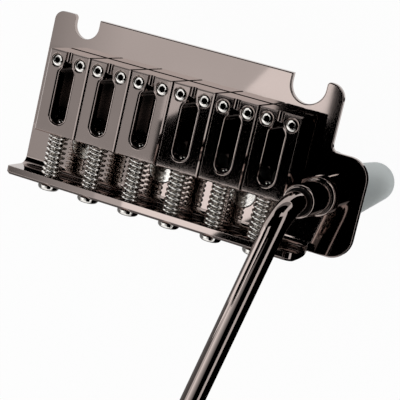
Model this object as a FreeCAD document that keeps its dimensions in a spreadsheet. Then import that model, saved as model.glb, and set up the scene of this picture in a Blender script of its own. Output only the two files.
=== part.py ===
"""Guitar tremolo bridge: a bent plate on two posts, six block saddles, a cast block and a push-in arm.

Frame: X along the spread of the strings, +Y towards the neck, +Z out of the guitar. The origin lies
midway between the two post notches, on the underside of the plate.
"""
import FreeCAD, Part
import Sketcher
import math
import os
import re
from types import SimpleNamespace

from FreeCAD import Placement, Rotation, Vector

SIZES = {
    # base plate
    "plate_thick": 2.0,
    "plate_width": 73.0,
    "front_reach": 1.9,
    "post_spacing": 56.0,
    "left_notch_radius": 3.2,
    "right_notch_radius": 4.1,
    "notch_bevel": 0.6,
    "left_ear_radius": 2.2,
    "left_ear_inner_radius": 0.9,
    "right_ear_radius": 3.4,
    "right_ear_inner_radius": 0.8,
    "edge_break": 0.3,
    # upturned rear lip
    "lip_setback": 35.5,
    "lip_height": 8.6,
    "bend_radius": 2.0,
    "lip_left_corner_radius": 0.6,
    "lip_right_corner_radius": 2.5,
    # wing that carries the arm
    "wing_reach": 9.6,
    "wing_front_setback": 12.7,
    "wing_back_setback": 35.8,
    "wing_corner_radius": 5.0,
    "wing_root_radius": 1.5,
    # strings
    "string_pitch": 10.5,
    "string_hole_radius": 1.6,
    "string_hole_setback": 21.6,
    # saddles
    "saddle_gap": 0.3,
    "saddle_length": 19.35,
    "saddle_height": 8.0,
    "saddle_front_setback": 6.05,
    "saddle_lift": 1.0,
    "saddle_corner_chamfer": 0.25,
    "saddle_edge_chamfer": 0.3,
    "slot_width": 3.6,
    "slot_back_web": 2.7,
    "slot_front_web": 3.45,
    "slot_rim_round": 0.6,
    "ramp_back_width": 3.2,
    "ramp_start_setback": 1.7,
    "ramp_drop": 4.5,
    "groove_radius": 0.9,
    # height screws
    "height_screw_spacing": 5.9,
    "height_screw_setback": 8.4,
    "height_screw_radius": 1.5,
    "height_screw_sink": 0.2,
    "height_screw_crown": 0.25,
    "height_screw_crown_width": 0.5,
    "height_screw_foot_gap": 0.1,
    "height_screw_foot_cone": 0.7,
    "height_screw_foot_radius": 0.8,
    "height_socket_depth": 1.8,
    "height_socket_radius": 0.87,
    "thread_clearance": 0.03,
    "thread_rim_chamfer": 0.15,
    # intonation screws
    "intonation_axis_height": 7.8,
    "intonation_screw_radius": 1.5,
    "intonation_tip_reach": 1.0,
    "intonation_tip_chamfer": 0.4,
    "lip_hole_clearance": 0.3,
    "screw_head_radius": 2.5,
    "screw_head_height": 1.2,
    "screw_head_round": 0.9,
    "screw_head_gap": 0.15,
    "screw_socket_radius": 1.1,
    "screw_socket_depth": 1.0,
    # intonation springs
    "spring_wire": 0.6,
    "spring_radius": 2.05,
    "spring_end_gap": 0.15,
    # cast block
    "block_left_inset": 0.5,
    "block_right_inset": 6.0,
    "block_height": 38.0,
    "block_top_setback": 23.1,
    "block_foot_setback": 22.6,
    "block_top_depth": 13.6,
    "block_foot_depth": 9.4,
    "block_corner_radius": 3.6,
    "block_foot_round": 1.2,
    "boss_reach": 1.6,
    "boss_setback": 22.6,
    "boss_top_radius": 6.8,
    "boss_foot_radius": 4.8,
    "boss_web_depth": 6.0,
    "boss_web_rise": 2.0,
    "ball_recess_radius": 2.3,
    "ball_recess_depth": 24.0,
    "claw_hole_radius": 1.3,
    "claw_hole_depth": 9.0,
    "claw_hole_setback": 24.6,
    # block screws
    "block_screw_pitch": 20.5,
    "block_screw_shift": 1.6,
    "block_screw_setback": 27.4,
    "block_screw_radius": 1.3,
    "block_screw_length": 12.0,
    "block_screw_head_radius": 3.1,
    "block_screw_head_depth": 1.5,
    "block_screw_recess_radius": 0.9,
    "block_screw_recess_depth": 1.0,
    "block_screw_hole_clearance": 0.2,
    # arm socket
    "socket_inset": 0.2,
    "socket_setback": 23.0,
    "socket_flange_radius": 4.5,
    "socket_flange_thick": 2.4,
    "socket_neck_radius": 3.7,
    "socket_neck_height": 12.1,
    "socket_edge_round": 0.6,
    "socket_sleeve_radius": 3.6,
    "socket_depth": 20.0,
    "bush_radius": 3.1,
    "bush_lip": 0.4,
    "bush_floor": 1.5,
    "grub_radius": 1.5,
    "grub_length": 2.0,
    "grub_drop": 8.0,
    "grub_hex_radius": 0.87,
    "grub_hex_depth": 1.5,
    # arm
    "arm_radius": 2.55,
    "arm_fit_clearance": 0.04,
    "arm_height": 25.2,
    "arm_bend_radius": 7.0,
    "arm_run": 82.0,
    "arm_tip_bend_radius": 40.0,
    "arm_tip_run": 36.0,
    "arm_end_gap": 1.0,
    "arm_end_chamfer": 0.6,
    "tip_radius": 3.8,
    "tip_length": 26.0,
    "tip_cover": 22.0,
    "tip_round": 2.6,
    "tip_mouth_round": 0.8,
    # allowance by which every cut runs past the face it opens
    "cut_overrun": 1.0,
}
STRINGS = 6
CLAW_HOLES = 5
SPRING_TURNS = 8
SPRING_EXTRA_TURN_SHARE = 0.5
SPRING_SAMPLES_PER_QUARTER = 12
HEX_SIDES = 6
ARM_SWING_DEGREES = 11.9
ARM_TIP_RISE_DEGREES = 14.0

size = SimpleNamespace(**SIZES)
doc = FreeCAD.newDocument("tremolo_bridge")
sheet = doc.addObject("Spreadsheet::Sheet", "Sizes")
for line, (alias, value) in enumerate(SIZES.items(), start=1):
    sheet.set(f"A{line}", alias)
    sheet.set(f"B{line}", str(value))
    sheet.setAlias(f"B{line}", alias)
doc.recompute()

UP = Rotation()
DOWN = Rotation(Vector(1, 0, 0), 180)
REARWARD = Rotation(Vector(1, 0, 0), 90)
FORWARD = Rotation(Vector(1, 0, 0), -90)
SOCKET_X = "plate_width / 2 - socket_inset"
pieces = []


def tied(expression):
    """The expression with every size name pointing at its cell."""
    return re.sub(r"[a-z_]+", lambda word: f"Sizes.{word[0]}" if word[0] in SIZES else word[0], expression)


def bind(thing, **sizes):
    """Ties properties of a document object to expressions of the sheet's sizes."""
    for name, expression in sizes.items():
        thing.setExpression(name.replace("__", "."), tied(expression))


def place(thing, x="0", y="0", z="0", turn=UP):
    """Turns an object, then ties its place to expressions of the sheet's sizes."""
    thing.Placement = Placement(Vector(), turn)
    for axis, expression in (("x", x), ("y", y), ("z", z)):
        thing.setExpression(f"Placement.Base.{axis}", tied(expression))


def new_body(name):
    """An empty body whose label is the node's name."""
    body = doc.addObject("PartDesign::Body", name)
    body.Label = name
    pieces.append(body)
    return body


def feature(body, kind, name, x="0", y="0", z="0", turn=UP, **sizes):
    """Adds a primitive to the body, or cuts one from it."""
    thing = body.newObject(f"PartDesign::{kind}", f"{body.Name}_{name}")
    bind(thing, **sizes)
    place(thing, x, y, z, turn)
    return thing


def soften(body, kind, name, wanted, radius):
    """Fillets or chamfers the edges of the body that the test picks."""
    doc.recompute()
    tip = body.Tip
    edges = [f"Edge{n}" for n, edge in enumerate(tip.Shape.Edges, start=1) if wanted(edge)]
    if not edges:
        raise ValueError(f"{body.Name} {name}: no edge found")
    thing = body.newObject(f"PartDesign::{kind}", f"{body.Name}_{name}")
    thing.Base = (tip, edges)
    bind(thing, **{"Radius" if kind == "Fillet" else "Size": radius})
    return thing


def repeat(body, seed, name, axis, length, count):
    """Repeats a feature along one of the body's axes."""
    pattern = body.newObject("PartDesign::LinearPattern", f"{body.Name}_{name}")
    pattern.Originals = [seed]
    lines = {line.Role: line for line in body.Origin.OriginFeatures}
    pattern.Direction = (lines[axis], [""])
    bind(pattern, Length=length)
    pattern.Occurrences = count
    body.Tip = pattern
    return pattern


def near(one, other):
    """True where two places agree to a hundredth of the plate's thickness."""
    return abs(one - other) < size.plate_thick / 100


def upright(edge):
    """True for a straight edge along Z."""
    box = edge.BoundBox
    return near(box.XLength, 0) and near(box.YLength, 0) and not near(box.ZLength, 0)


def at(edge, x=None, y=None, z=None):
    """True where the middle of an edge's box has the places given."""
    middle = edge.BoundBox.Center
    wanted = ((x, middle.x), (y, middle.y), (z, middle.z))
    return all(near(place_wanted, found) for place_wanted, found in wanted if place_wanted is not None)


def flat_at(edge, z):
    """True where a whole edge lies at one height."""
    return near(edge.BoundBox.ZMin, z) and near(edge.BoundBox.ZMax, z)


def string_place(number):
    """The expression and the value of a string's X."""
    steps = number - (STRINGS - 1) / 2
    return f"{steps} * string_pitch", steps * size.string_pitch


def make_base_plate():
    """Bent steel plate: front ears with open post notches, upturned rear lip, wing for the arm."""
    body = new_body("base_plate")
    half = size.plate_width / 2
    feature(
        body, "AdditiveBox", "flat", x="-plate_width / 2", y="-lip_setback - plate_thick",
        Length="plate_width", Width="lip_setback + plate_thick + front_reach", Height="plate_thick",
    )
    feature(
        body, "AdditiveBox", "lip", x="-plate_width / 2", y="-lip_setback - plate_thick",
        Length="plate_width", Width="plate_thick", Height="plate_thick + lip_height",
    )
    for side, sign in (("left", -1), ("right", 1)):
        soften(
            body, "Fillet", f"lip_{side}_corner",
            lambda edge: near(edge.BoundBox.YLength, size.plate_thick)
            and at(edge, x=sign * half, z=size.plate_thick + size.lip_height),
            f"lip_{side}_corner_radius",
        )
    soften(
        body, "Fillet", "inner_bend",
        lambda edge: at(edge, y=-size.lip_setback, z=size.plate_thick)
        and near(edge.BoundBox.XLength, size.plate_width),
        "bend_radius",
    )
    soften(
        body, "Fillet", "outer_bend",
        lambda edge: at(edge, y=-size.lip_setback - size.plate_thick, z=0)
        and near(edge.BoundBox.XLength, size.plate_width),
        "bend_radius + plate_thick",
    )
    feature(
        body, "AdditiveBox", "wing", x="plate_width / 2", y="-wing_back_setback",
        Length="wing_reach", Width="wing_back_setback - wing_front_setback", Height="plate_thick",
    )
    soften(
        body, "Fillet", "wing_corners",
        lambda edge: upright(edge) and at(edge, x=half + size.wing_reach),
        "wing_corner_radius",
    )
    soften(
        body, "Fillet", "wing_root",
        lambda edge: upright(edge) and at(edge, x=half, y=-size.wing_front_setback),
        "wing_root_radius",
    )
    for side, sign in (("left", -1), ("right", 1)):
        soften(
            body, "Fillet", f"{side}_ear",
            lambda edge: upright(edge) and at(edge, x=sign * half, y=size.front_reach),
            f"{side}_ear_radius",
        )
    for side, sign in (("left", -1), ("right", 1)):
        radius = f"{side}_notch_radius"
        feature(
            body, "SubtractiveCylinder", f"{side}_notch", x=f"{sign} * post_spacing / 2",
            z="-cut_overrun", Radius=radius, Height="plate_thick + 2 * cut_overrun",
        )
        feature(
            body, "SubtractiveBox", f"{side}_notch_mouth", x=f"{sign} * post_spacing / 2 - {radius}",
            z="-cut_overrun", Length=f"2 * {radius}", Width="front_reach + cut_overrun",
            Height="plate_thick + 2 * cut_overrun",
        )
    for side, sign in (("left", -1), ("right", 1)):
        notch_side = sign * (size.post_spacing / 2 + SIZES[f"{side}_notch_radius"])
        soften(
            body, "Fillet", f"{side}_ear_inner",
            lambda edge: upright(edge) and at(edge, x=notch_side, y=size.front_reach),
            f"{side}_ear_inner_radius",
        )
    soften(
        body, "Chamfer", "knife_edges",
        lambda edge: flat_at(edge, 0) and edge.Curve.TypeId == "Part::GeomCircle"
        and near(abs(edge.Curve.Center.x), size.post_spacing / 2) and near(edge.Curve.Center.y, 0),
        "notch_bevel",
    )
    string_hole = feature(
        body, "SubtractiveCylinder", "string_hole", x=string_place(0)[0], y="-string_hole_setback",
        z="-cut_overrun", Radius="string_hole_radius", Height="plate_thick + 2 * cut_overrun",
    )
    repeat(body, string_hole, "string_holes", "X_Axis", f"{STRINGS - 1} * string_pitch", STRINGS)
    screw_hole = feature(
        body, "SubtractiveCylinder", "intonation_hole", x=string_place(0)[0], y="-lip_setback + cut_overrun",
        z="intonation_axis_height", turn=REARWARD, Radius="intonation_screw_radius + lip_hole_clearance",
        Height="plate_thick + 2 * cut_overrun",
    )
    repeat(body, screw_hole, "intonation_holes", "X_Axis", f"{STRINGS - 1} * string_pitch", STRINGS)
    for number in range(-1, 2):
        spot = f"{number} * block_screw_pitch - block_screw_shift"
        feature(
            body, "SubtractiveCylinder", f"block_screw_hole_{number + 2}", x=spot, y="-block_screw_setback",
            z="-cut_overrun", Radius="block_screw_radius + block_screw_hole_clearance",
            Height="plate_thick + cut_overrun",
        )
        feature(
            body, "SubtractiveCone", f"block_screw_sink_{number + 2}", x=spot, y="-block_screw_setback",
            z="plate_thick - block_screw_head_depth",
            Radius1="block_screw_radius + block_screw_hole_clearance",
            Radius2="block_screw_head_radius + block_screw_hole_clearance", Height="block_screw_head_depth",
        )
    feature(
        body, "SubtractiveCylinder", "socket_hole", x=SOCKET_X, y="-socket_setback", z="-cut_overrun",
        Radius="socket_sleeve_radius", Height="plate_thick + 2 * cut_overrun",
    )
    soften(
        body, "Fillet", "edge_break",
        lambda edge: flat_at(edge, size.plate_thick) and (
            at(edge, x=half + size.wing_reach)
            or at(edge, y=size.front_reach) and edge.BoundBox.XLength > size.post_spacing / 2
        ),
        "edge_break",
    )


def make_block():
    """Die-cast block under the plate, drawn in towards its foot, with a round arm boss at its right."""
    body = new_body("sustain_block")
    right_now = size.plate_width / 2 - size.block_right_inset
    feature(
        body, "AdditiveCone", "arm_boss", x="plate_width / 2 + boss_reach", y="-boss_setback", turn=DOWN,
        Radius1="boss_top_radius", Radius2="boss_foot_radius", Height="block_height",
    )
    soften(
        body, "Fillet", "boss_foot",
        lambda edge: flat_at(edge, -size.block_height), "block_foot_round",
    )
    feature(
        body, "AdditiveBox", "boss_web", x="plate_width / 2 - block_right_inset - block_corner_radius",
        y="-boss_setback - boss_web_depth / 2", z="-block_height + boss_web_rise",
        Length="block_right_inset + block_corner_radius + boss_reach", Width="boss_web_depth",
        Height="block_height - boss_web_rise",
    )
    planes = {plane.Role: plane for plane in body.Origin.OriginFeatures}
    sections = []
    for name, drop in (("top", "0"), ("foot", "block_height")):
        depth = f"block_{name}_depth"
        sketch = body.newObject("Sketcher::SketchObject", f"block_{name}")
        sketch.AttachmentSupport = [(planes["XY_Plane"], "")]
        sketch.MapMode = "FlatFace"
        bind(
            sketch,
            AttachmentOffset__Base__x="(block_left_inset - block_right_inset) / 2",
            AttachmentOffset__Base__y=f"-block_{name}_setback",
            AttachmentOffset__Base__z=f"-{drop}",
        )
        rounded_rectangle(
            sketch, "plate_width - block_left_inset - block_right_inset", depth, "block_corner_radius",
            size.plate_width - size.block_left_inset - size.block_right_inset, SIZES[depth],
            size.block_corner_radius,
        )
        sections.append(sketch)
    loft = body.newObject("PartDesign::AdditiveLoft", "block_casting")
    loft.Profile = sections[0]
    loft.Sections = [sections[1]]
    loft.Ruled = True
    soften(
        body, "Fillet", "foot",
        lambda edge: flat_at(edge, -size.block_height) and edge.BoundBox.XMin < right_now,
        "block_foot_round",
    )
    string_bore = feature(
        body, "SubtractiveCylinder", "string_bore", x=string_place(0)[0], y="-string_hole_setback",
        z="cut_overrun", turn=DOWN, Radius="string_hole_radius", Height="block_height + 2 * cut_overrun",
    )
    repeat(body, string_bore, "string_bores", "X_Axis", f"{STRINGS - 1} * string_pitch", STRINGS)
    recess = feature(
        body, "SubtractiveCylinder", "ball_recess", x=string_place(0)[0], y="-string_hole_setback",
        z="-block_height - cut_overrun", Radius="ball_recess_radius",
        Height="ball_recess_depth + cut_overrun",
    )
    repeat(body, recess, "ball_recesses", "X_Axis", f"{STRINGS - 1} * string_pitch", STRINGS)
    claw = feature(
        body, "SubtractiveCylinder", "claw_hole", x=f"-{(CLAW_HOLES - 1) / 2} * string_pitch",
        y="-claw_hole_setback", z="-block_height - cut_overrun", Radius="claw_hole_radius",
        Height="claw_hole_depth + cut_overrun",
    )
    repeat(body, claw, "claw_holes", "X_Axis", f"{CLAW_HOLES - 1} * string_pitch", CLAW_HOLES)
    thread = feature(
        body, "SubtractiveCylinder", "screw_thread", x="-block_screw_pitch - block_screw_shift",
        y="-block_screw_setback", z="cut_overrun", turn=DOWN, Radius="block_screw_radius",
        Height="block_screw_length - plate_thick + 2 * cut_overrun",
    )
    repeat(body, thread, "screw_threads", "X_Axis", "2 * block_screw_pitch", 3)
    feature(
        body, "SubtractiveCylinder", "socket_bore", x=SOCKET_X, y="-socket_setback", z="cut_overrun",
        turn=DOWN, Radius="socket_sleeve_radius", Height="socket_depth + cut_overrun",
    )
    feature(
        body, "SubtractiveCylinder", "grub_bore", x=SOCKET_X, y="-socket_setback", z="-grub_drop",
        turn=REARWARD, Radius="grub_radius", Height="block_top_depth",
    )


def rounded_rectangle(sketch, width, depth, radius, width_now, depth_now, radius_now):
    """Draws a rectangle with round corners about the sketch's origin, tied to its three sizes."""
    right = width_now / 2
    back = depth_now / 2
    inner_x = right - radius_now
    inner_y = back - radius_now
    quarter = math.pi / 2
    corners = ((inner_x, inner_y, 0), (-inner_x, inner_y, 1), (-inner_x, -inner_y, 2), (inner_x, -inner_y, 3))
    arcs = []
    for x, y, turn in corners:
        circle = Part.Circle(Vector(x, y, 0), Vector(0, 0, 1), radius_now)
        arcs.append(sketch.addGeometry(Part.ArcOfCircle(circle, turn * quarter, (turn + 1) * quarter)))
    lines = []
    for first, last in ((0, 1), (1, 2), (2, 3), (3, 0)):
        start = sketch.Geometry[arcs[first]].EndPoint
        end = sketch.Geometry[arcs[last]].StartPoint
        line = sketch.addGeometry(Part.LineSegment(start, end))
        sketch.addConstraint(Sketcher.Constraint("Tangent", arcs[first], 2, line, 1))
        sketch.addConstraint(Sketcher.Constraint("Tangent", line, 2, arcs[last], 1))
        lines.append(line)
    for arc in arcs[1:]:
        sketch.addConstraint(Sketcher.Constraint("Equal", arcs[0], arc))
    for line in (lines[0], lines[2]):
        sketch.addConstraint(Sketcher.Constraint("Horizontal", line))
    sketch.addConstraint(Sketcher.Constraint("Vertical", lines[1]))
    sketch.addConstraint(Sketcher.Constraint("Symmetric", arcs[0], 3, arcs[2], 3, -1, 1))
    radius_held = Sketcher.Constraint("Radius", arcs[0], radius_now)
    across_held = Sketcher.Constraint("DistanceX", arcs[1], 3, arcs[0], 3, 2 * inner_x)
    along_held = Sketcher.Constraint("DistanceY", arcs[3], 3, arcs[0], 3, 2 * inner_y)
    measures = (
        ("radius", radius_held, radius),
        ("across", across_held, f"{width} - 2 * {radius}"),
        ("along", along_held, f"{depth} - 2 * {radius}"),
    )
    for name, constraint, expression in measures:
        number = sketch.addConstraint(constraint)
        sketch.renameConstraint(number, name)
        sketch.setExpression(f"Constraints.{name}", tied(expression))


def make_block_screws():
    """Three countersunk screws that hold the block to the plate."""
    screws = []
    for number in range(-1, 2):
        name = f"block_screw_{number + 2}"
        shank = doc.addObject("Part::Cylinder", f"{name}_shank")
        bind(shank, Radius="block_screw_radius", Height="block_screw_length")
        place(shank, z="-block_screw_length")
        head = doc.addObject("Part::Cone", f"{name}_head")
        bind(
            head, Radius1="block_screw_radius", Radius2="block_screw_head_radius",
            Height="block_screw_head_depth",
        )
        place(head, z="-block_screw_head_depth")
        blank = doc.addObject("Part::Fuse", f"{name}_blank")
        blank.Base = shank
        blank.Tool = head
        recess = doc.addObject("Part::Prism", f"{name}_recess")
        recess.Polygon = HEX_SIDES
        bind(
            recess, Circumradius="block_screw_recess_radius",
            Height="block_screw_recess_depth + cut_overrun",
        )
        place(recess, z="-block_screw_recess_depth")
        screw = doc.addObject("Part::Cut", name)
        screw.Base = blank
        screw.Tool = recess
        place(
            screw, x=f"{number} * block_screw_pitch - block_screw_shift", y="-block_screw_setback",
            z="plate_thick",
        )
        screws.append(screw)
    group = doc.addObject("Part::Compound", "block_screws")
    group.Label = "block_screws"
    group.Links = screws
    pieces.append(group)


def make_saddle(number):
    """Block saddle: string slot with a ramp and groove, two threaded holes and a bore for its screw."""
    body = new_body(f"saddle_{number + 1}")
    x, x_now = string_place(number)
    width_now = size.string_pitch - size.saddle_gap
    foot_now = size.plate_thick + size.saddle_lift
    top_now = foot_now + size.saddle_height
    front_now = -size.saddle_front_setback
    back_now = front_now - size.saddle_length
    foot = "plate_thick + saddle_lift"
    top = "plate_thick + saddle_lift + saddle_height"
    back = "-saddle_front_setback - saddle_length"
    feature(
        body, "AdditiveBox", "blank", x=f"{x} - (string_pitch - saddle_gap) / 2", y=back, z=foot,
        Length="string_pitch - saddle_gap", Width="saddle_length", Height="saddle_height",
    )
    soften(
        body, "Chamfer", "front_corners",
        lambda edge: upright(edge) and at(edge, y=front_now), "saddle_corner_chamfer",
    )
    soften(
        body, "Chamfer", "front_edge",
        lambda edge: flat_at(edge, top_now) and at(edge, x=x_now, y=front_now), "saddle_edge_chamfer",
    )
    soften(
        body, "Chamfer", "other_edges",
        lambda edge: flat_at(edge, top_now) and (
            at(edge, x=x_now, y=back_now)
            or near(abs(edge.BoundBox.Center.x - x_now), width_now / 2)
            and edge.BoundBox.YLength > width_now / 2
        ),
        "saddle_edge_chamfer",
    )
    feature(
        body, "SubtractiveBox", "slot", x=f"{x} - slot_width / 2",
        y=f"{back} + slot_back_web + slot_width / 2", z=f"{foot} - cut_overrun", Length="slot_width",
        Width="saddle_length - slot_back_web - slot_front_web - slot_width",
        Height="saddle_height + 2 * cut_overrun",
    )
    for end, spot in (
        ("back", f"{back} + slot_back_web + slot_width / 2"),
        ("front", "-saddle_front_setback - slot_front_web - slot_width / 2"),
    ):
        feature(
            body, "SubtractiveCylinder", f"slot_{end}", x=x, y=spot, z=f"{foot} - cut_overrun",
            Radius="slot_width / 2", Height="saddle_height + 2 * cut_overrun",
        )
    soften(
        body, "Fillet", "slot_rim",
        lambda edge: flat_at(edge, top_now) and abs(edge.BoundBox.Center.x - x_now) < size.slot_width
        and edge.BoundBox.YMin > back_now + size.slot_back_web / 2
        and edge.BoundBox.YMax < front_now - size.slot_front_web / 2,
        "slot_rim_round",
    )
    feature(
        body, "SubtractiveWedge", "ramp", x=x, y="-saddle_front_setback", z=top,
        Xmin="-ramp_back_width / 2", Xmax="ramp_back_width / 2",
        X2min="-groove_radius", X2max="groove_radius",
        Ymin="-slot_front_web - slot_width / 2", Ymax="-ramp_start_setback",
        Zmin="-ramp_drop", Zmax="cut_overrun", Z2min="0", Z2max="cut_overrun",
    )
    feature(
        body, "SubtractiveCylinder", "string_groove", x=x, y="-saddle_front_setback + cut_overrun", z=top,
        turn=REARWARD, Radius="groove_radius", Height="ramp_start_setback + cut_overrun + groove_radius",
    )
    for side, sign in (("left", -1), ("right", 1)):
        feature(
            body, "SubtractiveCylinder", f"{side}_height_thread",
            x=f"{x} + {sign} * height_screw_spacing / 2", y="-height_screw_setback",
            z=f"{foot} - cut_overrun", Radius="height_screw_radius + thread_clearance",
            Height="saddle_height + 2 * cut_overrun",
        )
    soften(
        body, "Chamfer", "thread_rims",
        lambda edge: flat_at(edge, top_now) and at(edge, y=-size.height_screw_setback)
        and edge.Curve.TypeId == "Part::GeomCircle",
        "thread_rim_chamfer",
    )
    feature(
        body, "SubtractiveCylinder", "intonation_thread", x=x, y=f"{back} - cut_overrun",
        z="intonation_axis_height", turn=FORWARD, Radius="intonation_screw_radius + thread_clearance",
        Height="slot_back_web + slot_width / 2 + cut_overrun",
    )


def make_height_screws(number):
    """Pair of socket set screws that a saddle stands on."""
    x = string_place(number)[0]
    screws = []
    for side, sign in (("left", -1), ("right", 1)):
        name = f"height_screw_{number + 1}_{side}"
        shank = doc.addObject("Part::Cylinder", f"{name}_shank")
        bind(
            shank, Radius="height_screw_radius",
            Height="saddle_lift + saddle_height - height_screw_sink - height_screw_foot_gap"
            " - height_screw_foot_cone - height_screw_crown",
        )
        place(shank, z="height_screw_foot_cone")
        cone = doc.addObject("Part::Cone", f"{name}_foot")
        bind(
            cone, Radius1="height_screw_foot_radius", Radius2="height_screw_radius",
            Height="height_screw_foot_cone",
        )
        crown = doc.addObject("Part::Cone", f"{name}_crown")
        bind(
            crown, Radius1="height_screw_radius", Radius2="height_screw_radius - height_screw_crown_width",
            Height="height_screw_crown",
        )
        place(
            crown,
            z="saddle_lift + saddle_height - height_screw_sink - height_screw_foot_gap - height_screw_crown",
        )
        blank = doc.addObject("Part::MultiFuse", f"{name}_blank")
        blank.Shapes = [cone, shank, crown]
        recess = doc.addObject("Part::Prism", f"{name}_recess")
        recess.Polygon = HEX_SIDES
        bind(recess, Circumradius="height_socket_radius", Height="height_socket_depth + cut_overrun")
        place(
            recess,
            z="saddle_lift + saddle_height - height_screw_sink - height_screw_foot_gap - height_socket_depth",
        )
        screw = doc.addObject("Part::Cut", name)
        screw.Base = blank
        screw.Tool = recess
        place(
            screw, x=f"{x} + {sign} * height_screw_spacing / 2", y="-height_screw_setback",
            z="plate_thick + height_screw_foot_gap",
        )
        screws.append(screw)
    group = doc.addObject("Part::Compound", f"height_screws_{number + 1}")
    group.Label = f"height_screws_{number + 1}"
    group.Links = screws
    pieces.append(group)


def make_intonation_screw(number):
    """Dome-headed screw through the lip, with its tip standing in the saddle's slot."""
    body = new_body(f"intonation_screw_{number + 1}")
    x = string_place(number)[0]
    tip = "-saddle_front_setback - saddle_length + slot_back_web + intonation_tip_reach"
    seat = "-lip_setback - plate_thick - screw_head_gap"
    seat_now = -size.lip_setback - size.plate_thick - size.screw_head_gap
    feature(
        body, "AdditiveCylinder", "shank", x=x, y=tip, z="intonation_axis_height", turn=REARWARD,
        Radius="intonation_screw_radius", Height=f"{tip} - ({seat})",
    )
    soften(
        body, "Chamfer", "tip",
        lambda edge: edge.Curve.TypeId == "Part::GeomCircle" and not near(edge.BoundBox.Center.y, seat_now),
        "intonation_tip_chamfer",
    )
    feature(
        body, "AdditiveCylinder", "head", x=x, y=seat, z="intonation_axis_height", turn=REARWARD,
        Radius="screw_head_radius", Height="screw_head_height",
    )
    soften(
        body, "Fillet", "dome",
        lambda edge: edge.Curve.TypeId == "Part::GeomCircle"
        and near(edge.BoundBox.Center.y, seat_now - size.screw_head_height),
        "screw_head_round",
    )
    feature(
        body, "SubtractivePrism", "socket", x=x, y=f"{seat} - screw_head_height - cut_overrun",
        z="intonation_axis_height", turn=FORWARD, Circumradius="screw_socket_radius",
        Height="screw_socket_depth + cut_overrun",
    )


def biarc(start, start_way, end, end_way):
    """Two arcs that leave start along start_way and reach end along end_way."""
    across = end - start
    ways = start_way + end_way
    square = 2 * (start_way.dot(end_way) - 1)
    linear = -2 * across.dot(ways)
    constant = across.dot(across)
    root = math.sqrt(linear * linear - 4 * square * constant)
    leg = (-linear - root) / (2 * square)
    first_corner = start + start_way * leg
    last_corner = end - end_way * leg
    middle = (first_corner + last_corner) * 0.5
    arcs = []
    for one, corner, other in ((start, first_corner, middle), (middle, last_corner, end)):
        inward = (one + other) * 0.5 - corner
        half_turn = math.asin(inward.Length / leg)
        radius = leg / math.tan(half_turn)
        depth = radius * (1 / math.cos(half_turn) - 1)
        arcs.append(Part.Arc(one, corner + inward.normalize() * depth, other).toShape())
    return arcs


def make_intonation_spring(number):
    """Compression spring round the screw, between saddle and lip: one unbroken wire."""
    x = string_place(number)[1]
    turns = SPRING_TURNS + SPRING_EXTRA_TURN_SHARE
    back = -size.lip_setback + size.spring_end_gap + size.spring_wire / 2
    front = -size.saddle_front_setback - size.saddle_length - size.spring_end_gap - size.spring_wire / 2
    rise = (front - back) / (2 * math.pi * turns)
    quarters = round(4 * turns)

    def point(angle):
        return Vector(
            x + size.spring_radius * math.cos(angle), back + rise * angle,
            size.intonation_axis_height + size.spring_radius * math.sin(angle),
        )

    def way(angle):
        tangent = Vector(-size.spring_radius * math.sin(angle), rise, size.spring_radius * math.cos(angle))
        return tangent.normalize()

    angles = [quarter * math.pi / 2 for quarter in range(quarters + 1)]
    edges = []
    for low, high in zip(angles, angles[1:]):
        edges += biarc(point(low), way(low), point(high), way(high))
    wire = Part.Wire(edges)
    section = Part.Wire(Part.Circle(point(0), way(0), size.spring_wire / 2).toShape())
    shell = Part.BRepOffsetAPI.MakePipeShell(wire)
    shell.add(section)
    shell.build()
    shell.makeSolid()
    spring = doc.addObject("Part::Feature", f"intonation_spring_{number + 1}")
    spring.Label = f"intonation_spring_{number + 1}"
    spring.Shape = shell.shape()
    spring.Placement = Placement()
    pieces.append(spring)
    steps = SPRING_SAMPLES_PER_QUARTER * quarters
    half_turn = 2 * SPRING_SAMPLES_PER_QUARTER
    samples = [point(step * angles[-1] / steps) for step in range(steps + 1)]
    gap = min(
        (samples[one] - samples[other]).Length
        for one in range(len(samples)) for other in range(one + half_turn, len(samples))
    ) - size.spring_wire
    print(f"{spring.Label}: least gap of the wire to itself {gap:.2f} mm")


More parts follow.
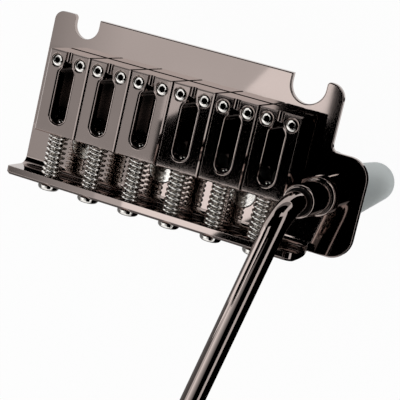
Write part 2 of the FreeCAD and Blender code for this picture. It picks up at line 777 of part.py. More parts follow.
def make_arm_socket():
    """Flanged sleeve through the wing into the block, which the arm's liner is pressed into."""
    body = new_body("arm_socket")
    spot = {"x": SOCKET_X, "y": "-socket_setback"}
    flange_top = size.plate_thick + size.socket_flange_thick
    feature(
        body, "AdditiveCylinder", "sleeve", z="-socket_depth", **spot, Radius="socket_sleeve_radius",
        Height="socket_depth + plate_thick",
    )
    feature(
        body, "AdditiveCylinder", "flange", z="plate_thick", **spot, Radius="socket_flange_radius",
        Height="socket_flange_thick",
    )
    soften(
        body, "Fillet", "flange_edge",
        lambda edge: flat_at(edge, flange_top) and edge.Curve.TypeId == "Part::GeomCircle",
        "socket_edge_round",
    )
    feature(
        body, "AdditiveCylinder", "neck", z="plate_thick + socket_flange_thick", **spot,
        Radius="socket_neck_radius", Height="socket_neck_height",
    )
    soften(
        body, "Fillet", "neck_edge",
        lambda edge: flat_at(edge, flange_top + size.socket_neck_height)
        and edge.Curve.TypeId == "Part::GeomCircle",
        "socket_edge_round",
    )
    feature(
        body, "SubtractiveCylinder", "liner_bore", z="-socket_depth - cut_overrun", **spot,
        Radius="bush_radius",
        Height="socket_depth + plate_thick + socket_flange_thick + socket_neck_height + 2 * cut_overrun",
    )
    liner = new_body("arm_bush")
    feature(
        liner, "AdditiveCylinder", "tube", z="-socket_depth", **spot, Radius="bush_radius",
        Height="socket_depth + plate_thick + socket_flange_thick + socket_neck_height - bush_lip",
    )
    feature(
        liner, "SubtractiveCylinder", "bore", z="-socket_depth + bush_floor", **spot,
        Radius="arm_radius + arm_fit_clearance",
        Height="socket_depth + plate_thick + socket_flange_thick + socket_neck_height",
    )
    grub = new_body("socket_grub_screw")
    feature(
        grub, "AdditiveCylinder", "shank", x=SOCKET_X, y="-socket_setback - socket_sleeve_radius",
        z="-grub_drop", turn=REARWARD, Radius="grub_radius", Height="grub_length",
    )
    feature(
        grub, "SubtractivePrism", "hex_socket", x=SOCKET_X,
        y="-socket_setback - socket_sleeve_radius - grub_length - cut_overrun", z="-grub_drop", turn=FORWARD,
        Circumradius="grub_hex_radius", Height="grub_hex_depth + cut_overrun",
    )


def make_arm():
    """Bent steel bar that stands in the socket, with a plastic cap on its far end."""
    swing = Rotation(Vector(0, 0, 1), -ARM_SWING_DEGREES)
    rise = math.radians(ARM_TIP_RISE_DEGREES)
    climb = Rotation(Vector(1, 0, 0), 90 - ARM_TIP_RISE_DEGREES)
    foot_now = -size.socket_depth + size.bush_floor + size.arm_end_gap
    body = new_body("arm")
    feature(
        body, "AdditiveCylinder", "shaft", z="-socket_depth + bush_floor + arm_end_gap", Radius="arm_radius",
        Height="arm_height - arm_bend_radius + socket_depth - bush_floor - arm_end_gap",
    )
    soften(
        body, "Chamfer", "foot",
        lambda edge: flat_at(edge, foot_now) and edge.Curve.TypeId == "Part::GeomCircle", "arm_end_chamfer",
    )
    bend = feature(
        body, "AdditiveTorus", "bend", y="-arm_bend_radius", z="arm_height - arm_bend_radius",
        turn=Rotation(Vector(0, 1, 0), Vector(0, 0, 1), Vector(1, 0, 0), "XYZ"),
        Radius1="arm_bend_radius", Radius2="arm_radius",
    )
    bend.Angle3 = 90
    feature(
        body, "AdditiveCylinder", "run", y="-arm_bend_radius", z="arm_height", turn=REARWARD,
        Radius="arm_radius", Height="arm_run",
    )
    tip_bend = feature(
        body, "AdditiveTorus", "tip_bend", y="-arm_bend_radius - arm_run",
        z="arm_height + arm_tip_bend_radius",
        turn=Rotation(Vector(0, 0, -1), Vector(0, -1, 0), Vector(-1, 0, 0), "XYZ"),
        Radius1="arm_tip_bend_radius", Radius2="arm_radius",
    )
    tip_bend.Angle3 = ARM_TIP_RISE_DEGREES
    end_y = f"-arm_bend_radius - arm_run - {math.sin(rise)} * arm_tip_bend_radius"
    end_z = f"arm_height + {1 - math.cos(rise)} * arm_tip_bend_radius"
    feature(
        body, "AdditiveCylinder", "tip_run", y=end_y, z=end_z, turn=climb, Radius="arm_radius",
        Height="arm_tip_run",
    )
    place(body, x=SOCKET_X, y="-socket_setback", turn=swing)
    cap = new_body("arm_tip")
    reach = "(arm_tip_run - tip_cover)"
    feature(
        cap, "AdditiveCylinder", "cover", y=f"{end_y} - {math.cos(rise)} * {reach}",
        z=f"{end_z} + {math.sin(rise)} * {reach}", turn=climb, Radius="tip_radius", Height="tip_length",
    )
    soften(
        cap, "Fillet", "round_end",
        lambda edge: edge.Curve.TypeId == "Part::GeomCircle"
        and edge.BoundBox.Center.y < cap.Tip.Shape.BoundBox.Center.y,
        "tip_round",
    )
    soften(
        cap, "Fillet", "round_mouth",
        lambda edge: edge.Curve.TypeId == "Part::GeomCircle"
        and near(edge.BoundBox.YMax, cap.Tip.Shape.BoundBox.YMax),
        "tip_mouth_round",
    )
    feature(
        cap, "SubtractiveCylinder", "bore", y=f"{end_y} - {math.cos(rise)} * ({reach} - cut_overrun)",
        z=f"{end_z} + {math.sin(rise)} * ({reach} - cut_overrun)", turn=climb, Radius="arm_radius",
        Height="tip_cover + cut_overrun",
    )
    place(cap, x=SOCKET_X, y="-socket_setback", turn=swing)


make_base_plate()
make_block()
make_block_screws()
for string in range(STRINGS):
    make_saddle(string)
    make_height_screws(string)
    make_intonation_screw(string)
    make_intonation_spring(string)
make_arm_socket()
make_arm()
doc.recompute()

for thing in doc.Objects:
    if "Invalid" in thing.State or "Error" in thing.State:
        raise ValueError(f"{thing.Name}: {thing.State}")
for piece in pieces:
    if piece.Shape.isNull() or not piece.Shape.isValid():
        raise ValueError(f"{piece.Label}: no valid shape")
os.makedirs("parts", exist_ok=True)
for piece in pieces:
    piece.Shape.exportStep(f"parts/{piece.Label}.step")
    print(f"{piece.Label}: {len(piece.Shape.Solids)} solids, {piece.Shape.Volume:.1f} mm3")
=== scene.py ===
import math

import bpy
from mathutils import Matrix, Vector


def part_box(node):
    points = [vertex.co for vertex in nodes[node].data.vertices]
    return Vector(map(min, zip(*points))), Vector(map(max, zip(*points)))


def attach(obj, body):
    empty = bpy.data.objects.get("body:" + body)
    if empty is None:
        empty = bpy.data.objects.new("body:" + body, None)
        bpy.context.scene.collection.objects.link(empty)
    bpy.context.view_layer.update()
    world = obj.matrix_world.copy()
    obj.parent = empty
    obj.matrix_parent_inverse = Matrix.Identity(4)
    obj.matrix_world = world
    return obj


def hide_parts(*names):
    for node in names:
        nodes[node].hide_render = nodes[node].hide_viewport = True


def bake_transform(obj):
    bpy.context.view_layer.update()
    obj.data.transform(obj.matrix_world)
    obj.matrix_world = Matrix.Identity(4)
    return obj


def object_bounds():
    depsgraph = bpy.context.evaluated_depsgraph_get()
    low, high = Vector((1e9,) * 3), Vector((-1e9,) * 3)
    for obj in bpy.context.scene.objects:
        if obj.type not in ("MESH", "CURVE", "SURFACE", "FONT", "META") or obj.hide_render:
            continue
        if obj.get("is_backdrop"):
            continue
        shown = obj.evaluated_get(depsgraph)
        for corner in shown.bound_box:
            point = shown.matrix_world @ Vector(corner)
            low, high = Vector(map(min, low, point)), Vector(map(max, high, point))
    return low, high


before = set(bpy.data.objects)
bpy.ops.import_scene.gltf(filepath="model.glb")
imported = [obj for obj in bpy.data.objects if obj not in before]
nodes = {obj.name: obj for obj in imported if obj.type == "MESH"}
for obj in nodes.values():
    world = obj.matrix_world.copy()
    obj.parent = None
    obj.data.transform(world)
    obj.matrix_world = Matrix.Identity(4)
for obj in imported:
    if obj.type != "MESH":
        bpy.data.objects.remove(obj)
cad_low, cad_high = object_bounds()

# Base plate: mild steel sheet, blanked, bent up at the rear, polished and plated.
# It is black chrome over nickel: a dark, slightly warm mirror whose most rubbed edges
# let the nickel show.
MM = 0.001
SHADE_FADE = 0.3
FRONT_FADE_MM = 0.4


def linear(hex_colour):
    """An sRGB hex colour as the linear colour that a shader takes."""
    channels = [int(hex_colour[start:start + 2], 16) / 255 for start in (1, 3, 5)]
    return [c / 12.92 if c <= 0.04045 else ((c + 0.055) / 1.055) ** 2.4 for c in channels] + [1.0]


def add(tree, kind, inputs=None, **settings):
    """Adds a node with its settings, and links or sets its inputs."""
    node = tree.nodes.new(kind)
    for name, value in settings.items():
        setattr(node, name, value)
    for name, value in (inputs or {}).items():
        if isinstance(value, bpy.types.NodeSocket):
            tree.links.new(value, node.inputs[name])
        else:
            node.inputs[name].default_value = value
    return node


def new_material(name):
    """An empty node material and its tree."""
    material = bpy.data.materials.new(name)
    material.use_nodes = True
    material.node_tree.nodes.clear()
    return material, material.node_tree


def dress(thing, *materials):
    """Gives an object its materials; a new mesh keeps its faces' material numbers."""
    if thing.data.materials:
        thing.data.materials.clear()
    for material in materials:
        thing.data.materials.append(material)


def black_chrome(name, cloud_mm, peel_mm, peel_depth_mm, edge_mm, recess_mm, shade_below, open_front_mm):
    """Black chrome: the tone drifts, the polish ripples, edges wear paler and deep recesses get a painted
    shade.

    A recess that is less open than the shading limit fades to a near-black painted shade within a fixed
    fade.
    Faces in front of open_front_mm get no painted shade, however deep they lie.
    """
    material, tree = new_material(name)
    place = add(tree, "ShaderNodeTexCoord").outputs["Object"]
    cloud = add(tree, "ShaderNodeTexNoise", {"Vector": place, "Scale": 1 / (cloud_mm * MM), "Detail": 3.0})
    tone = add(
        tree, "ShaderNodeMix",
        {0: cloud.outputs["Fac"], 6: linear("#a29590"), 7: linear("#aea19c")}, data_type="RGBA",
    )
    peel = add(tree, "ShaderNodeTexNoise", {"Vector": place, "Scale": 1 / (peel_mm * MM), "Detail": 1.0})
    ripple = add(
        tree, "ShaderNodeBump",
        {"Height": peel.outputs["Fac"], "Distance": peel_depth_mm * MM, "Strength": 1.0},
    )
    rounded = add(
        tree, "ShaderNodeBevel", {"Radius": edge_mm * MM, "Normal": ripple.outputs["Normal"]}, samples=8,
    )
    flat = add(tree, "ShaderNodeNewGeometry")
    turn = add(
        tree, "ShaderNodeVectorMath", {0: rounded.outputs["Normal"], 1: flat.outputs["Normal"]},
        operation="DOT_PRODUCT",
    )
    edge = add(
        tree, "ShaderNodeMapRange",
        {"Value": turn.outputs["Value"], "From Min": 0.99, "From Max": 0.85, "To Min": 0.0, "To Max": 0.12},
    )
    worn = add(
        tree, "ShaderNodeMix",
        {0: edge.outputs["Result"], 6: tone.outputs[2], 7: linear("#d8d2ca")}, data_type="RGBA",
    )
    # Painted shade: ambient occlusion darkens deep recesses to near-black, standing in for the shade that
    # falls there.
    shelter = add(
        tree, "ShaderNodeAmbientOcclusion", {"Distance": recess_mm * MM}, samples=8, only_local=True,
    )
    unshaded = add(
        tree, "ShaderNodeMapRange",
        {"Value": shelter.outputs["AO"], "From Min": shade_below - SHADE_FADE, "From Max": shade_below},
    )
    along = add(tree, "ShaderNodeSeparateXYZ", {"Vector": place}).outputs["Y"]
    open_front = add(
        tree, "ShaderNodeMapRange",
        {"Value": along, "From Min": (open_front_mm - FRONT_FADE_MM) * MM,
         "From Max": (open_front_mm + FRONT_FADE_MM) * MM},
    )
    bright = add(
        tree, "ShaderNodeMath", {0: unshaded.outputs["Result"], 1: open_front.outputs["Result"]},
        operation="MAXIMUM",
    )
    # Where the recess mask is low, the worn tone is mixed to near-black: this is the painted shade.
    painted_shade_mix = add(
        tree, "ShaderNodeMix",
        {0: bright.outputs[0], 6: linear("#191716"), 7: worn.outputs[2]}, data_type="RGBA",
    )
    haze = add(
        tree, "ShaderNodeMapRange",
        {"Value": cloud.outputs["Fac"], "From Min": 0.3, "From Max": 0.7, "To Min": 0.02, "To Max": 0.045},
    )
    shader = add(
        tree, "ShaderNodeBsdfPrincipled",
        {"Base Color": painted_shade_mix.outputs[2], "Metallic": 1.0, "Roughness": haze.outputs["Result"],
         "Normal": rounded.outputs["Normal"]},
    )
    add(tree, "ShaderNodeOutputMaterial", {"Surface": shader.outputs["BSDF"]})
    return material


plate_chrome = black_chrome(
    "black_chrome_on_rolled_steel", cloud_mm=22, peel_mm=5, peel_depth_mm=0.0008, edge_mm=0.12,
    recess_mm=3, shade_below=0.7, open_front_mm=0,
)
dress(nodes["base_plate"], plate_chrome)

# Sustain block: zinc alloy, die cast and tumbled, left bare and matte.
# Its skin has a faint cloudiness from the die and a fine grain, which is drawn coarser
# than it is, so that it shows.
CASTING_GRAIN = 0.45 * MM
CASTING_GRAIN_DEPTH = 0.02 * MM
CASTING_CLOUD = 14 * MM
material, tree = new_material("tumbled_zinc_casting")
place = add(tree, "ShaderNodeTexCoord").outputs["Object"]
grain = add(tree, "ShaderNodeTexNoise", {"Vector": place, "Scale": 1 / CASTING_GRAIN, "Detail": 4.0})
cloud = add(tree, "ShaderNodeTexNoise", {"Vector": place, "Scale": 1 / CASTING_CLOUD, "Detail": 3.0})
tone = add(
    tree, "ShaderNodeMix",
    {0: cloud.outputs["Fac"], 6: linear("#bdc4c4"), 7: linear("#cdd3d2")}, data_type="RGBA",
)
bump = add(
    tree, "ShaderNodeBump",
    {"Height": grain.outputs["Fac"], "Distance": CASTING_GRAIN_DEPTH, "Strength": 0.6},
)
rough = add(tree, "ShaderNodeMapRange", {"Value": grain.outputs["Fac"], "To Min": 0.48, "To Max": 0.62})
shader = add(
    tree, "ShaderNodeBsdfPrincipled",
    {"Base Color": tone.outputs[2], "Metallic": 0.35, "Roughness": rough.outputs["Result"],
     "Normal": bump.outputs["Normal"]},
)
add(tree, "ShaderNodeOutputMaterial", {"Surface": shader.outputs["BSDF"]})
dress(nodes["sustain_block"], material)

# Block screws: countersunk machine screws of hardened steel that hold the block, nickel plated.
# Turning leaves fine marks that the plating keeps, so the shine is a little broken.
# The marks are drawn coarser than they are, so that they show.
NICKEL_CLOUD = 3 * MM
NICKEL_EDGE = 0.06 * MM
MARK_DEPTH = 0.002 * MM


def bright_nickel(name, mark_mm, rough_low, rough_high):
    """Bright nickel: a pale, faintly warm mirror over fine tool marks."""
    material, tree = new_material(name)
    place = add(tree, "ShaderNodeTexCoord").outputs["Object"]
    mark = add(tree, "ShaderNodeTexNoise", {"Vector": place, "Scale": 1 / (mark_mm * MM), "Detail": 3.0})
    cloud = add(tree, "ShaderNodeTexNoise", {"Vector": place, "Scale": 1 / NICKEL_CLOUD, "Detail": 2.0})
    tone = add(
        tree, "ShaderNodeMix",
        {0: cloud.outputs["Fac"], 6: linear("#dedad4"), 7: linear("#efece8")}, data_type="RGBA",
    )
    rough = add(
        tree, "ShaderNodeMapRange",
        {"Value": mark.outputs["Fac"], "From Min": 0.3, "From Max": 0.7, "To Min": rough_low,
         "To Max": rough_high},
    )
    bump = add(
        tree, "ShaderNodeBump", {"Height": mark.outputs["Fac"], "Distance": MARK_DEPTH, "Strength": 0.5},
    )
    rounded = add(
        tree, "ShaderNodeBevel", {"Radius": NICKEL_EDGE, "Normal": bump.outputs["Normal"]}, samples=6,
    )
    shader = add(
        tree, "ShaderNodeBsdfPrincipled",
        {"Base Color": tone.outputs[2], "Metallic": 1.0, "Roughness": rough.outputs["Result"],
         "Normal": rounded.outputs["Normal"]},
    )
    add(tree, "ShaderNodeOutputMaterial", {"Surface": shader.outputs["BSDF"]})
    return material


head_nickel = bright_nickel("bright_nickel_on_turned_heads", mark_mm=0.25, rough_low=0.08, rough_high=0.16)
dress(nodes["block_screws"], head_nickel)

# Saddles: steel blocks with a round-edged string slot, milled, polished and plated.
# They carry the plate's black chrome over a flatter polish, with its painted shade in recesses except
# towards their fronts.
saddle_chrome = black_chrome(
    "black_chrome_on_milled_steel", cloud_mm=12, peel_mm=6, peel_depth_mm=0.0003, edge_mm=0.08,
    recess_mm=5, shade_below=0.8, open_front_mm=-9.8,
)
STRINGS = range(1, 7)
for number in STRINGS:
    dress(nodes[f"saddle_{number}"], saddle_chrome)

# Height screws: a pair of socket set screws under each saddle's front, rolled thread, nickel plated.
# The sockets carry a painted shade: their faces take a near-black steel colour for the shade down them. The
# saddle hides most of the thread.
screw_nickel = bright_nickel("bright_nickel_on_turned_steel", mark_mm=0.25, rough_low=0.05, rough_high=0.1)
SOCKET_MOTTLE = 0.4 * MM
# Painted shade: near-black steel on the sockets' faces, mottled at random, stands in for the shade inside
# the sockets.
shaded_socket_steel, tree = new_material("painted_shade_socket_steel")
place = add(tree, "ShaderNodeTexCoord").outputs["Object"]
mottle = add(tree, "ShaderNodeTexNoise", {"Vector": place, "Scale": 1 / SOCKET_MOTTLE, "Detail": 3.0})
tone = add(
    tree, "ShaderNodeMix",
    {0: mottle.outputs["Fac"], 6: linear("#171615"), 7: linear("#2a2928")}, data_type="RGBA",
)
shader = add(
    tree, "ShaderNodeBsdfPrincipled",
    {"Base Color": tone.outputs[2], "Metallic": 1.0, "Roughness": 0.5},
)
add(tree, "ShaderNodeOutputMaterial", {"Surface": shader.outputs["BSDF"]})

SIDES = 36
SHARP_EDGE = math.radians(32)
THREAD_PITCH = 0.5 * MM
THREAD_DEPTH = 0.27 * MM
RINGS_PER_TURN = 6
DRILL_TIP_SHARE = 0.1


def skin(name, rings, recess=None):
    """A closed mesh through rings of points; from ring number recess on, faces take the second material."""
    sides = len(rings[0])
    verts = [point for ring in rings for point in ring]
    faces = []
    second = []
    for step in range(len(rings) - 1):
        for side in range(sides):
            near = step * sides + side
            beside = step * sides + (side + 1) % sides
            faces.append((near, beside, beside + sides, near + sides))
            second.append(int(recess is not None and step >= recess))
    faces.append(tuple(reversed(range(sides))))
    faces.append(tuple(range(len(verts) - sides, len(verts))))
    second += [0, int(recess is not None)]
    mesh = bpy.data.meshes.new(name)
    mesh.from_pydata(verts, [], faces)
    mesh.polygons.foreach_set("use_smooth", [True] * len(faces))
    mesh.polygons.foreach_set("material_index", second)
    mesh.set_sharp_from_angle(angle=SHARP_EDGE)
    piece = bpy.data.objects.new(name, mesh)
    bpy.context.scene.collection.objects.link(piece)
    return piece


def full_turn(count):
    """Angles at equal steps round a full turn."""
    return [2 * math.pi * step / count for step in range(count)]


def about_axis(radius, angle, height):
    """A point at a radius and an angle about the axis."""
    return Vector((radius * math.cos(angle), radius * math.sin(angle), height))


def circle(radius, height):
    """A ring of points about the axis."""
    return [about_axis(radius, angle, height) for angle in full_turn(SIDES)]


def hexagon(corner_radius, height):
    """A ring of points along a hexagon about the axis."""
    half_side = math.pi / 6
    ring = []
    for angle in full_turn(SIDES):
        off_flat = (angle + half_side) % (2 * half_side) - half_side
        radius = corner_radius * math.cos(half_side) / math.cos(off_flat)
        ring.append(about_axis(radius, angle, height))
    return ring


def thread(radius, start, end):
    """Rings along a vee thread that fades out at both ends."""
    count = round((end - start) / THREAD_PITCH * RINGS_PER_TURN)
    rings = []
    for step in range(count + 1):
        height = start + (end - start) * step / count
        fade = min(1, (height - start) / THREAD_PITCH, (end - height) / THREAD_PITCH)
        ring = []
        for side, angle in enumerate(full_turn(SIDES)):
            phase = (height / THREAD_PITCH - side / SIDES) % 1
            depth = THREAD_DEPTH * fade * abs(2 * phase - 1)
            ring.append(about_axis(radius - depth, angle, height))
        rings.append(ring)
    return rings


def rounded_rim(radius, width, rise, top, steps):
    """Rings over a rim that rounds inwards by width while it climbs by rise to top."""
    rings = []
    for step in range(1, steps + 1):
        angle = math.pi / 2 * step / steps
        inset = width * (1 - math.cos(angle))
        rings.append(circle(radius - inset, top - rise + rise * math.sin(angle)))
    return rings


def hex_socket(corner_radius, rim, depth, point_depth, top):
    """Rings down a hexagon socket with a chamfered rim and the drill's point at its foot."""
    return [
        hexagon(corner_radius + rim, top),
        hexagon(corner_radius, top - rim),
        hexagon(corner_radius, top - depth),
        circle(DRILL_TIP_SHARE * corner_radius, top - depth - point_depth),
    ]


FOOT_RADIUS = 0.8 * MM
FOOT_CONE = 0.7 * MM
CROWN = 0.25 * MM
CROWN_WIDTH = 0.72 * MM
CROWN_STEPS = 5
SET_SOCKET = 0.72 * MM
SET_SOCKET_RIM = 0.06 * MM
SET_SOCKET_DEPTH = 1.8 * MM
SET_SOCKET_POINT = 0.4 * SET_SOCKET
for number in STRINGS:
    low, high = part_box(f"height_screws_{number}")
    radius = (high.y - low.y) / 2
    length = high.z - low.z
    rings = [circle(FOOT_RADIUS, 0)]
    rings += thread(radius, FOOT_CONE, length - CROWN)
    rings += rounded_rim(radius, CROWN_WIDTH, CROWN, length, CROWN_STEPS)
    socket_start = len(rings)
    rings += hex_socket(SET_SOCKET, SET_SOCKET_RIM, SET_SOCKET_DEPTH, SET_SOCKET_POINT, length)
    for side, x in (("left", low.x + radius), ("right", high.x - radius)):
        seat = Vector((x, (low.y + high.y) / 2, low.z))
        placed = [[seat + point for point in ring] for ring in rings]
        piece = skin(f"height_screw_{number}_{side}", placed, socket_start)
        dress(piece, screw_nickel, shaded_socket_steel)
        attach(piece, f"height_{number}")
        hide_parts(f"height_screws_{number}")

# Intonation screws: dome-headed socket screws through the lip, rolled thread, nickel plated.
# Their tips shine in the saddles' slots.
SHANK_RADIUS = 1.5 * MM
HEAD_HEIGHT = 1.2 * MM
HEAD_ROUND = 0.9 * MM
HEAD_STEPS = 6
HEAD_SOCKET = 1.1 * MM
HEAD_SOCKET_RIM = 0.12 * MM
HEAD_SOCKET_DEPTH = 1.0 * MM
HEAD_SOCKET_POINT = 0.3 * HEAD_SOCKET
TIP_ROUND = 0.8 * MM
TIP_STEPS = 6
for number in STRINGS:
    low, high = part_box(f"intonation_screw_{number}")
    head_radius = (high.x - low.x) / 2
    length = high.y - low.y
    shank = length - HEAD_HEIGHT
    rings = []
    for step in range(TIP_STEPS):
        angle = math.pi / 2 * step / TIP_STEPS
        inset = TIP_ROUND * (1 - math.sin(angle))
        rings.append(circle(SHANK_RADIUS - inset, TIP_ROUND * (1 - math.cos(angle))))
    rings += thread(SHANK_RADIUS, TIP_ROUND, shank)
    rings += [circle(head_radius, shank), circle(head_radius, length - HEAD_ROUND)]
    rings += rounded_rim(head_radius, HEAD_ROUND, HEAD_ROUND, length, HEAD_STEPS)
    socket_start = len(rings)
    rings += hex_socket(HEAD_SOCKET, HEAD_SOCKET_RIM, HEAD_SOCKET_DEPTH, HEAD_SOCKET_POINT, length)
    tip = Vector(((low.x + high.x) / 2, high.y, (low.z + high.z) / 2))
    placed = [[tip + Vector((point.x, -point.z, point.y)) for point in ring] for ring in rings]
    piece = skin(f"threaded_screw_{number}", placed, socket_start)
    # The head's socket takes the same painted shade.
    dress(piece, screw_nickel, shaded_socket_steel)
    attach(piece, f"screw_{number}")
    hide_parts(f"intonation_screw_{number}")

# Intonation springs: music wire wound with closed ends, bright nickel plated.
# They stand round the screws, between lip and saddle, and are squeezed as a saddle comes back.
spring_nickel = bright_nickel("bright_nickel_on_music_wire", mark_mm=0.2, rough_low=0.03, rough_high=0.06)
WIRE_RADIUS = 0.33 * MM
OPEN_TURNS = 7.0
CLOSED_TURNS = 0.75
CLOSED_PITCH = 0.68 * MM
STEPS_PER_TURN = 36
WIRE_SIDES = 12
for number in STRINGS:
    low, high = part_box(f"intonation_spring_{number}")
    middle = (low + high) / 2
    coil_radius = (high.x - low.x) / 2 - WIRE_RADIUS
    first = low.y + WIRE_RADIUS
    last = high.y - WIRE_RADIUS
    turns = OPEN_TURNS + 2 * CLOSED_TURNS
    open_pitch = (last - first - 2 * CLOSED_TURNS * CLOSED_PITCH) / OPEN_TURNS
    path = []
    for step in range(round(turns * STEPS_PER_TURN) + 1):
        turn = step / STEPS_PER_TURN
        open_part = min(max(turn - CLOSED_TURNS, 0), OPEN_TURNS)
        along = first + open_part * open_pitch + (turn - open_part) * CLOSED_PITCH
        angle = 2 * math.pi * turn
        outward = Vector((math.cos(angle), 0, math.sin(angle)))
        path.append((Vector((middle.x, along, middle.z)) + coil_radius * outward, outward))
    rings = []
    for step, (point, outward) in enumerate(path):
        ahead = path[min(step + 1, len(path) - 1)][0] - path[max(step - 1, 0)][0]
        side = outward.cross(ahead).normalized()
        rings.append([
            point + WIRE_RADIUS * (math.cos(angle) * outward + math.sin(angle) * side)
            for angle in full_turn(WIRE_SIDES)
        ])
    coil = skin(f"spring_coil_{number}", rings)
    dress(coil, spring_nickel)
    back = (middle.x, low.y, middle.z)
    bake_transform(coil)
    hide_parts(f"intonation_spring_{number}")

# Arm socket: turned steel collar and sleeve, pushed through the wing into the block, black chrome.
# A matte black nylon liner inside it grips the arm, and a set screw in the block holds the sleeve.
bar_chrome = black_chrome(
    "black_chrome_on_drawn_bar", cloud_mm=30, peel_mm=8, peel_depth_mm=0.0006, edge_mm=0.1,
    recess_mm=3, shade_below=0.7, open_front_mm=0,
)
dress(nodes["arm_socket"], bar_chrome)
dress(nodes["socket_grub_screw"], screw_nickel)
NYLON_CLOUD = 4 * MM
material, tree = new_material("black_nylon")
place = add(tree, "ShaderNodeTexCoord").outputs["Object"]
cloud = add(tree, "ShaderNodeTexNoise", {"Vector": place, "Scale": 1 / NYLON_CLOUD, "Detail": 3.0})
tone = add(
    tree, "ShaderNodeMix",
    {0: cloud.outputs["Fac"], 6: linear("#0b0b0b"), 7: linear("#141415")}, data_type="RGBA",
)
shader = add(
    tree, "ShaderNodeBsdfPrincipled",
    {"Base Color": tone.outputs[2], "Roughness": 0.6, "Specular IOR Level": 0.15, "IOR": 1.53},
)
add(tree, "ShaderNodeOutputMaterial", {"Surface": shader.outputs["BSDF"]})
dress(nodes["arm_bush"], material)

# Arm: drawn steel bar, bent cold and plated like the plate.
# It swivels in the socket's liner.
dress(nodes["arm"], bar_chrome)

# Arm tip: cap moulded in ABS and pushed over the end of the bar.
# It is gloss black with a faint texture from the mould.
MOULD_GRAIN = 0.8 * MM
MOULD_GRAIN_DEPTH = 0.01 * MM
material, tree = new_material("gloss_black_abs")
place = add(tree, "ShaderNodeTexCoord").outputs["Object"]
grain = add(tree, "ShaderNodeTexNoise", {"Vector": place, "Scale": 1 / MOULD_GRAIN, "Detail": 3.0})
tone = add(
    tree, "ShaderNodeMix",
    {0: grain.outputs["Fac"], 6: linear("#0d0d0e"), 7: linear("#18181a")}, data_type="RGBA",
)
rough = add(tree, "ShaderNodeMapRange", {"Value": grain.outputs["Fac"], "To Min": 0.16, "To Max": 0.3})
bump = add(
    tree, "ShaderNodeBump",
    {"Height": grain.outputs["Fac"], "Distance": MOULD_GRAIN_DEPTH, "Strength": 0.4},
)
shader = add(
    tree, "ShaderNodeBsdfPrincipled",
    {"Base Color": tone.outputs[2], "Roughness": rough.outputs["Result"], "IOR": 1.54,
     "Normal": bump.outputs["Normal"]},
)
add(tree, "ShaderNodeOutputMaterial", {"Surface": shader.outputs["BSDF"]})
dress(nodes["arm_tip"], material)

# Floor: plain white paper laid under the block, which keeps the object's soft shadow.
# Its fibres are drawn coarser than they are. Looked at, also in a mirror, it is nearly all white.
FIBRE = 2 * MM
WHITE_SHARE = 0.95
FLOOR_DROP = 0.05 * MM
FLOOR_HALF = 3.0


def seen_directly(tree):
    """1 where a camera, glossy or transmission ray looks, 0 where light is gathered."""
    path = add(tree, "ShaderNodeLightPath")
    seen = path.outputs["Is Camera Ray"]
    for other in ("Is Glossy Ray", "Is Transmission Ray"):
        either = add(tree, "ShaderNodeMath", {0: seen, 1: path.outputs[other]}, operation="MAXIMUM")
        seen = either.outputs[0]
    return seen


material, tree = new_material("white_studio_paper")
place = add(tree, "ShaderNodeTexCoord").outputs["Object"]
fibre = add(tree, "ShaderNodeTexNoise", {"Vector": place, "Scale": 1 / FIBRE, "Detail": 2.0})
tone = add(
    tree, "ShaderNodeMix",
    {0: fibre.outputs["Fac"], 6: linear("#f4f4f4"), 7: linear("#fafafa")}, data_type="RGBA",
)
paper = add(tree, "ShaderNodeBsdfDiffuse", {"Color": tone.outputs[2]})
glow = add(tree, "ShaderNodeEmission", {"Color": linear("#ffffff"), "Strength": 1.0})
share = add(tree, "ShaderNodeMath", {0: seen_directly(tree), 1: WHITE_SHARE}, operation="MULTIPLY")
sweep = add(tree, "ShaderNodeMixShader", {0: share.outputs[0], 1: paper.outputs[0], 2: glow.outputs[0]})
add(tree, "ShaderNodeOutputMaterial", {"Surface": sweep.outputs[0]})
level = cad_low.z - FLOOR_DROP
mesh = bpy.data.meshes.new("floor")
corners = [(x * FLOOR_HALF, y * FLOOR_HALF, level) for x, y in ((-1, -1), (1, -1), (1, 1), (-1, 1))]
mesh.from_pydata(corners, [], [(0, 1, 2, 3)])
floor = bpy.data.objects.new("floor", mesh)
bpy.context.scene.collection.objects.link(floor)
dress(floor, material)
floor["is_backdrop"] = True

# Studio: a white room, two soft lamps, and boards that only the polished faces mirror.
# Dark boards overhead and to the right give black chrome its depth, pale ones its streaks.
ROOM_LIGHT = 0.6
ROOM_SEEN = 1.0
world = bpy.data.worlds.new("white_room")
bpy.context.scene.world = world
world.use_nodes = True
tree = world.node_tree
tree.nodes.clear()
strength = add(
    tree, "ShaderNodeMapRange", {"Value": seen_directly(tree), "To Min": ROOM_LIGHT, "To Max": ROOM_SEEN},
)
room = add(
    tree, "ShaderNodeBackground", {"Color": linear("#ffffff"), "Strength": strength.outputs["Result"]},
)
add(tree, "ShaderNodeOutputWorld", {"Surface": room.outputs[0]})

# Heights and walls that hold the boards, and how far back and forward they reach, in millimetres.
OVERHEAD = 410
HIGH = 480
GROUND = -37.5
LEFT_WALL = -500
RIGHT_WALL = 450
FRONT_WALL = 600
BEHIND_FRONT_WALL = 602
REAR_END = -700
FRONT_END = 400


def overhead(edge):
    """Corners of a level outline overhead."""
    return [(x, y, OVERHEAD) for x, y in edge]


def on_left_wall(edge):
    """Corners of an upright outline on the left wall."""
    return [(LEFT_WALL, y, z) for y, z in edge]


def level_board(left, right, rear, front, height):
    """Corners of a level rectangle."""
    return [(left, rear, height), (right, rear, height), (right, front, height), (left, front, height)]


def upright_board(start, end, low, high):
    """Corners of an upright rectangle over the line from start to end."""
    return [(*start, low), (*end, low), (*end, high), (*start, high)]


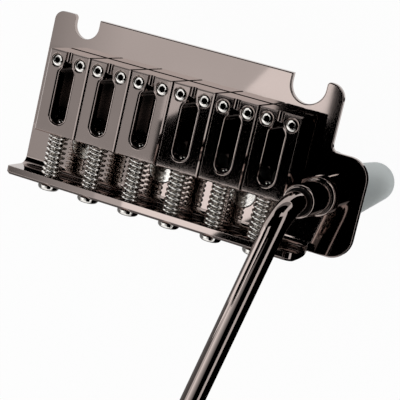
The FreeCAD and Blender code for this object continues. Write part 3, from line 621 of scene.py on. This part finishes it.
saddle_edge = [(-168, -101), (60, -101), (60, -56), (-140, -56), (-168, -78)]
wing_edge = [(-126, -127), (-120, -135), (60, -135), (60, -100), (-95, -100)]
lip_edge = [(-179, -140), (-135, -140), (-126, -127), (-95, -100), (-179, -100)]
notch_edge = [(-133, -54), (-87, -57), (-87, 15)]
bend_edge = [(-87, 16), (100, 16), (100, 600), (-700, 600), (-700, 97), (-114, 97), (-114, 16)]
left_edge = [(-500, GROUND), (-101, GROUND), (-101, 139), (-129, 139), (-129, 285), (-500, 285)]
window_edge = [(-128, 140), (-100, 140), (-100, 60), (60, 60), (60, 300), (-128, 300)]
right_foot = [(RIGHT_WALL, REAR_END), (RIGHT_WALL, FRONT_END)]
right_slope = [
    (RIGHT_WALL, REAR_END, 390), (RIGHT_WALL, FRONT_END, 390), (60, FRONT_END, HIGH), (60, REAR_END, HIGH),
]
front_foot = [(-700, FRONT_WALL), (300, FRONT_WALL)]
behind_front_foot = [(-700, BEHIND_FRONT_WALL), (300, BEHIND_FRONT_WALL)]

# Each board's glow at its left and right ends, and its corners.
boards = {
    "dark_over_right_saddles": (0.0, 0.0, overhead(saddle_edge)),
    "dark_over_wing": (0.0, 0.0, overhead(wing_edge)),
    "dark_over_ear": (0.0, 0.0, level_board(-87, 60, -57, 16, OVERHEAD)),
    "dark_over_bend": (0.0, 0.0, overhead(bend_edge)),
    "dark_over_left": (0.0, 0.0, level_board(-700, -262, -138, 96, OVERHEAD)),
    "dark_right_high": (0.0, 0.0, right_slope),
    "dark_right_low": (0.0, 0.0, upright_board(*right_foot, GROUND, 160)),
    "dark_right_ground": (0.0, 0.0, level_board(48, RIGHT_WALL, REAR_END, FRONT_END, GROUND)),
    "dark_rear_ground": (0.0, 0.0, level_board(5, 48, REAR_END, -45, GROUND)),
    "dark_left_rear": (0.15, 0.15, on_left_wall(left_edge)),
    "grey_over_left_saddles": (0.55, 0.55, level_board(-260, -168, -101, -57, OVERHEAD)),
    "grey_over_left_edge": (0.45, 1.0, level_board(-260, -205, -57, 25, OVERHEAD)),
    "grey_over_left_lip": (0.2, 0.75, level_board(-250, -195, -140, -122, OVERHEAD)),
    "grey_over_left_rear": (0.68, 0.68, level_board(-260, -180, -121, -102, OVERHEAD)),
    "grey_left_ground": (0.2, 0.2, level_board(-600, 5, -500, -45, GROUND)),
    "grey_front": (0.3, 0.3, upright_board(*front_foot, GROUND, 115)),
    "dark_front_high": (0.0, 0.0, upright_board(*behind_front_foot, 115, 420)),
    "pale_over_front": (1.3, 1.3, level_board(-260, -115, 30, 95, OVERHEAD)),
    "pale_over_notch": (1.6, 1.6, overhead(notch_edge)),
    "pale_over_lip": (1.8, 1.8, overhead(lip_edge)),
    "pale_over_arm": (1.9, 0.66, level_board(-420, -121, -340, -150, HIGH)),
    "fade_over_arm": (0.66, 0.15, level_board(-121, 60, -340, -150, HIGH)),
    "pale_left": (1.7, 1.7, on_left_wall(window_edge)),
}
for name, (left_glow, right_glow, corners) in boards.items():
    material, tree = new_material(name)
    shine = add(tree, "ShaderNodeEmission", {"Color": linear("#ffffff"), "Strength": left_glow})
    if left_glow != right_glow:
        ends = [corner[0] * MM for corner in corners]
        place = add(tree, "ShaderNodeTexCoord").outputs["Object"]
        across = add(tree, "ShaderNodeSeparateXYZ", {"Vector": place}).outputs["X"]
        fade = add(
            tree, "ShaderNodeMapRange",
            {"Value": across, "From Min": min(ends), "From Max": max(ends), "To Min": left_glow,
             "To Max": right_glow},
        )
        tree.links.new(fade.outputs["Result"], shine.inputs["Strength"])
    add(tree, "ShaderNodeOutputMaterial", {"Surface": shine.outputs[0]})
    mesh = bpy.data.meshes.new(name)
    mesh.from_pydata([Vector(corner) * MM for corner in corners], [], [tuple(range(len(corners)))])
    board = bpy.data.objects.new(name, mesh)
    bpy.context.scene.collection.objects.link(board)
    dress(board, material)
    board.visible_camera = False
    board.visible_diffuse = False
    board.visible_shadow = False
    board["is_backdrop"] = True

# Each lamp's place, width and height in metres, and its brightness.
lamps = {
    "left_softbox": ((-0.6, 0.1, 0.6), 0.5, 0.5, 1.2),
    "right_softbox": ((0.5, 0.3, 0.7), 0.4, 0.4, 0.8),
}
for name, (spot, width, height, glow) in lamps.items():
    lamp = bpy.data.lights.new(name, "AREA")
    lamp.shape = "RECTANGLE"
    lamp.size = width
    lamp.size_y = height
    lamp.energy = glow * math.pi * width * height
    softbox = bpy.data.objects.new(name, lamp)
    softbox.location = spot
    softbox.rotation_mode = "QUATERNION"
    softbox.rotation_quaternion = (-Vector(spot)).to_track_quat("-Z", "Y")
    softbox.visible_glossy = False
    bpy.context.scene.collection.objects.link(softbox)

# Camera: the photograph's viewpoint, high on the arm's side, with a long lens.
# Its picture shows the tones as they are, with no film curve.
camera = bpy.data.objects.new("camera", bpy.data.cameras.new("camera"))
bpy.context.scene.collection.objects.link(camera)
right = Vector((0.89788, 0.2214, -0.38052))
up = Vector((-0.2752, 0.95692, -0.09259))
back = Vector((0.34363, 0.18785, 0.92013))
spot = Vector((127.1, 32.7, 317.8)) * MM
camera.matrix_world = Matrix.Translation(spot) @ Matrix((right, up, back)).transposed().to_4x4()
camera.data.sensor_width = 36.0
camera.data.lens = 135.2
camera.data.clip_start = 0.01
camera.data.clip_end = 20.0
bpy.context.scene.camera = camera
bpy.context.scene.view_settings.view_transform = "Standard"

low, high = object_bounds()
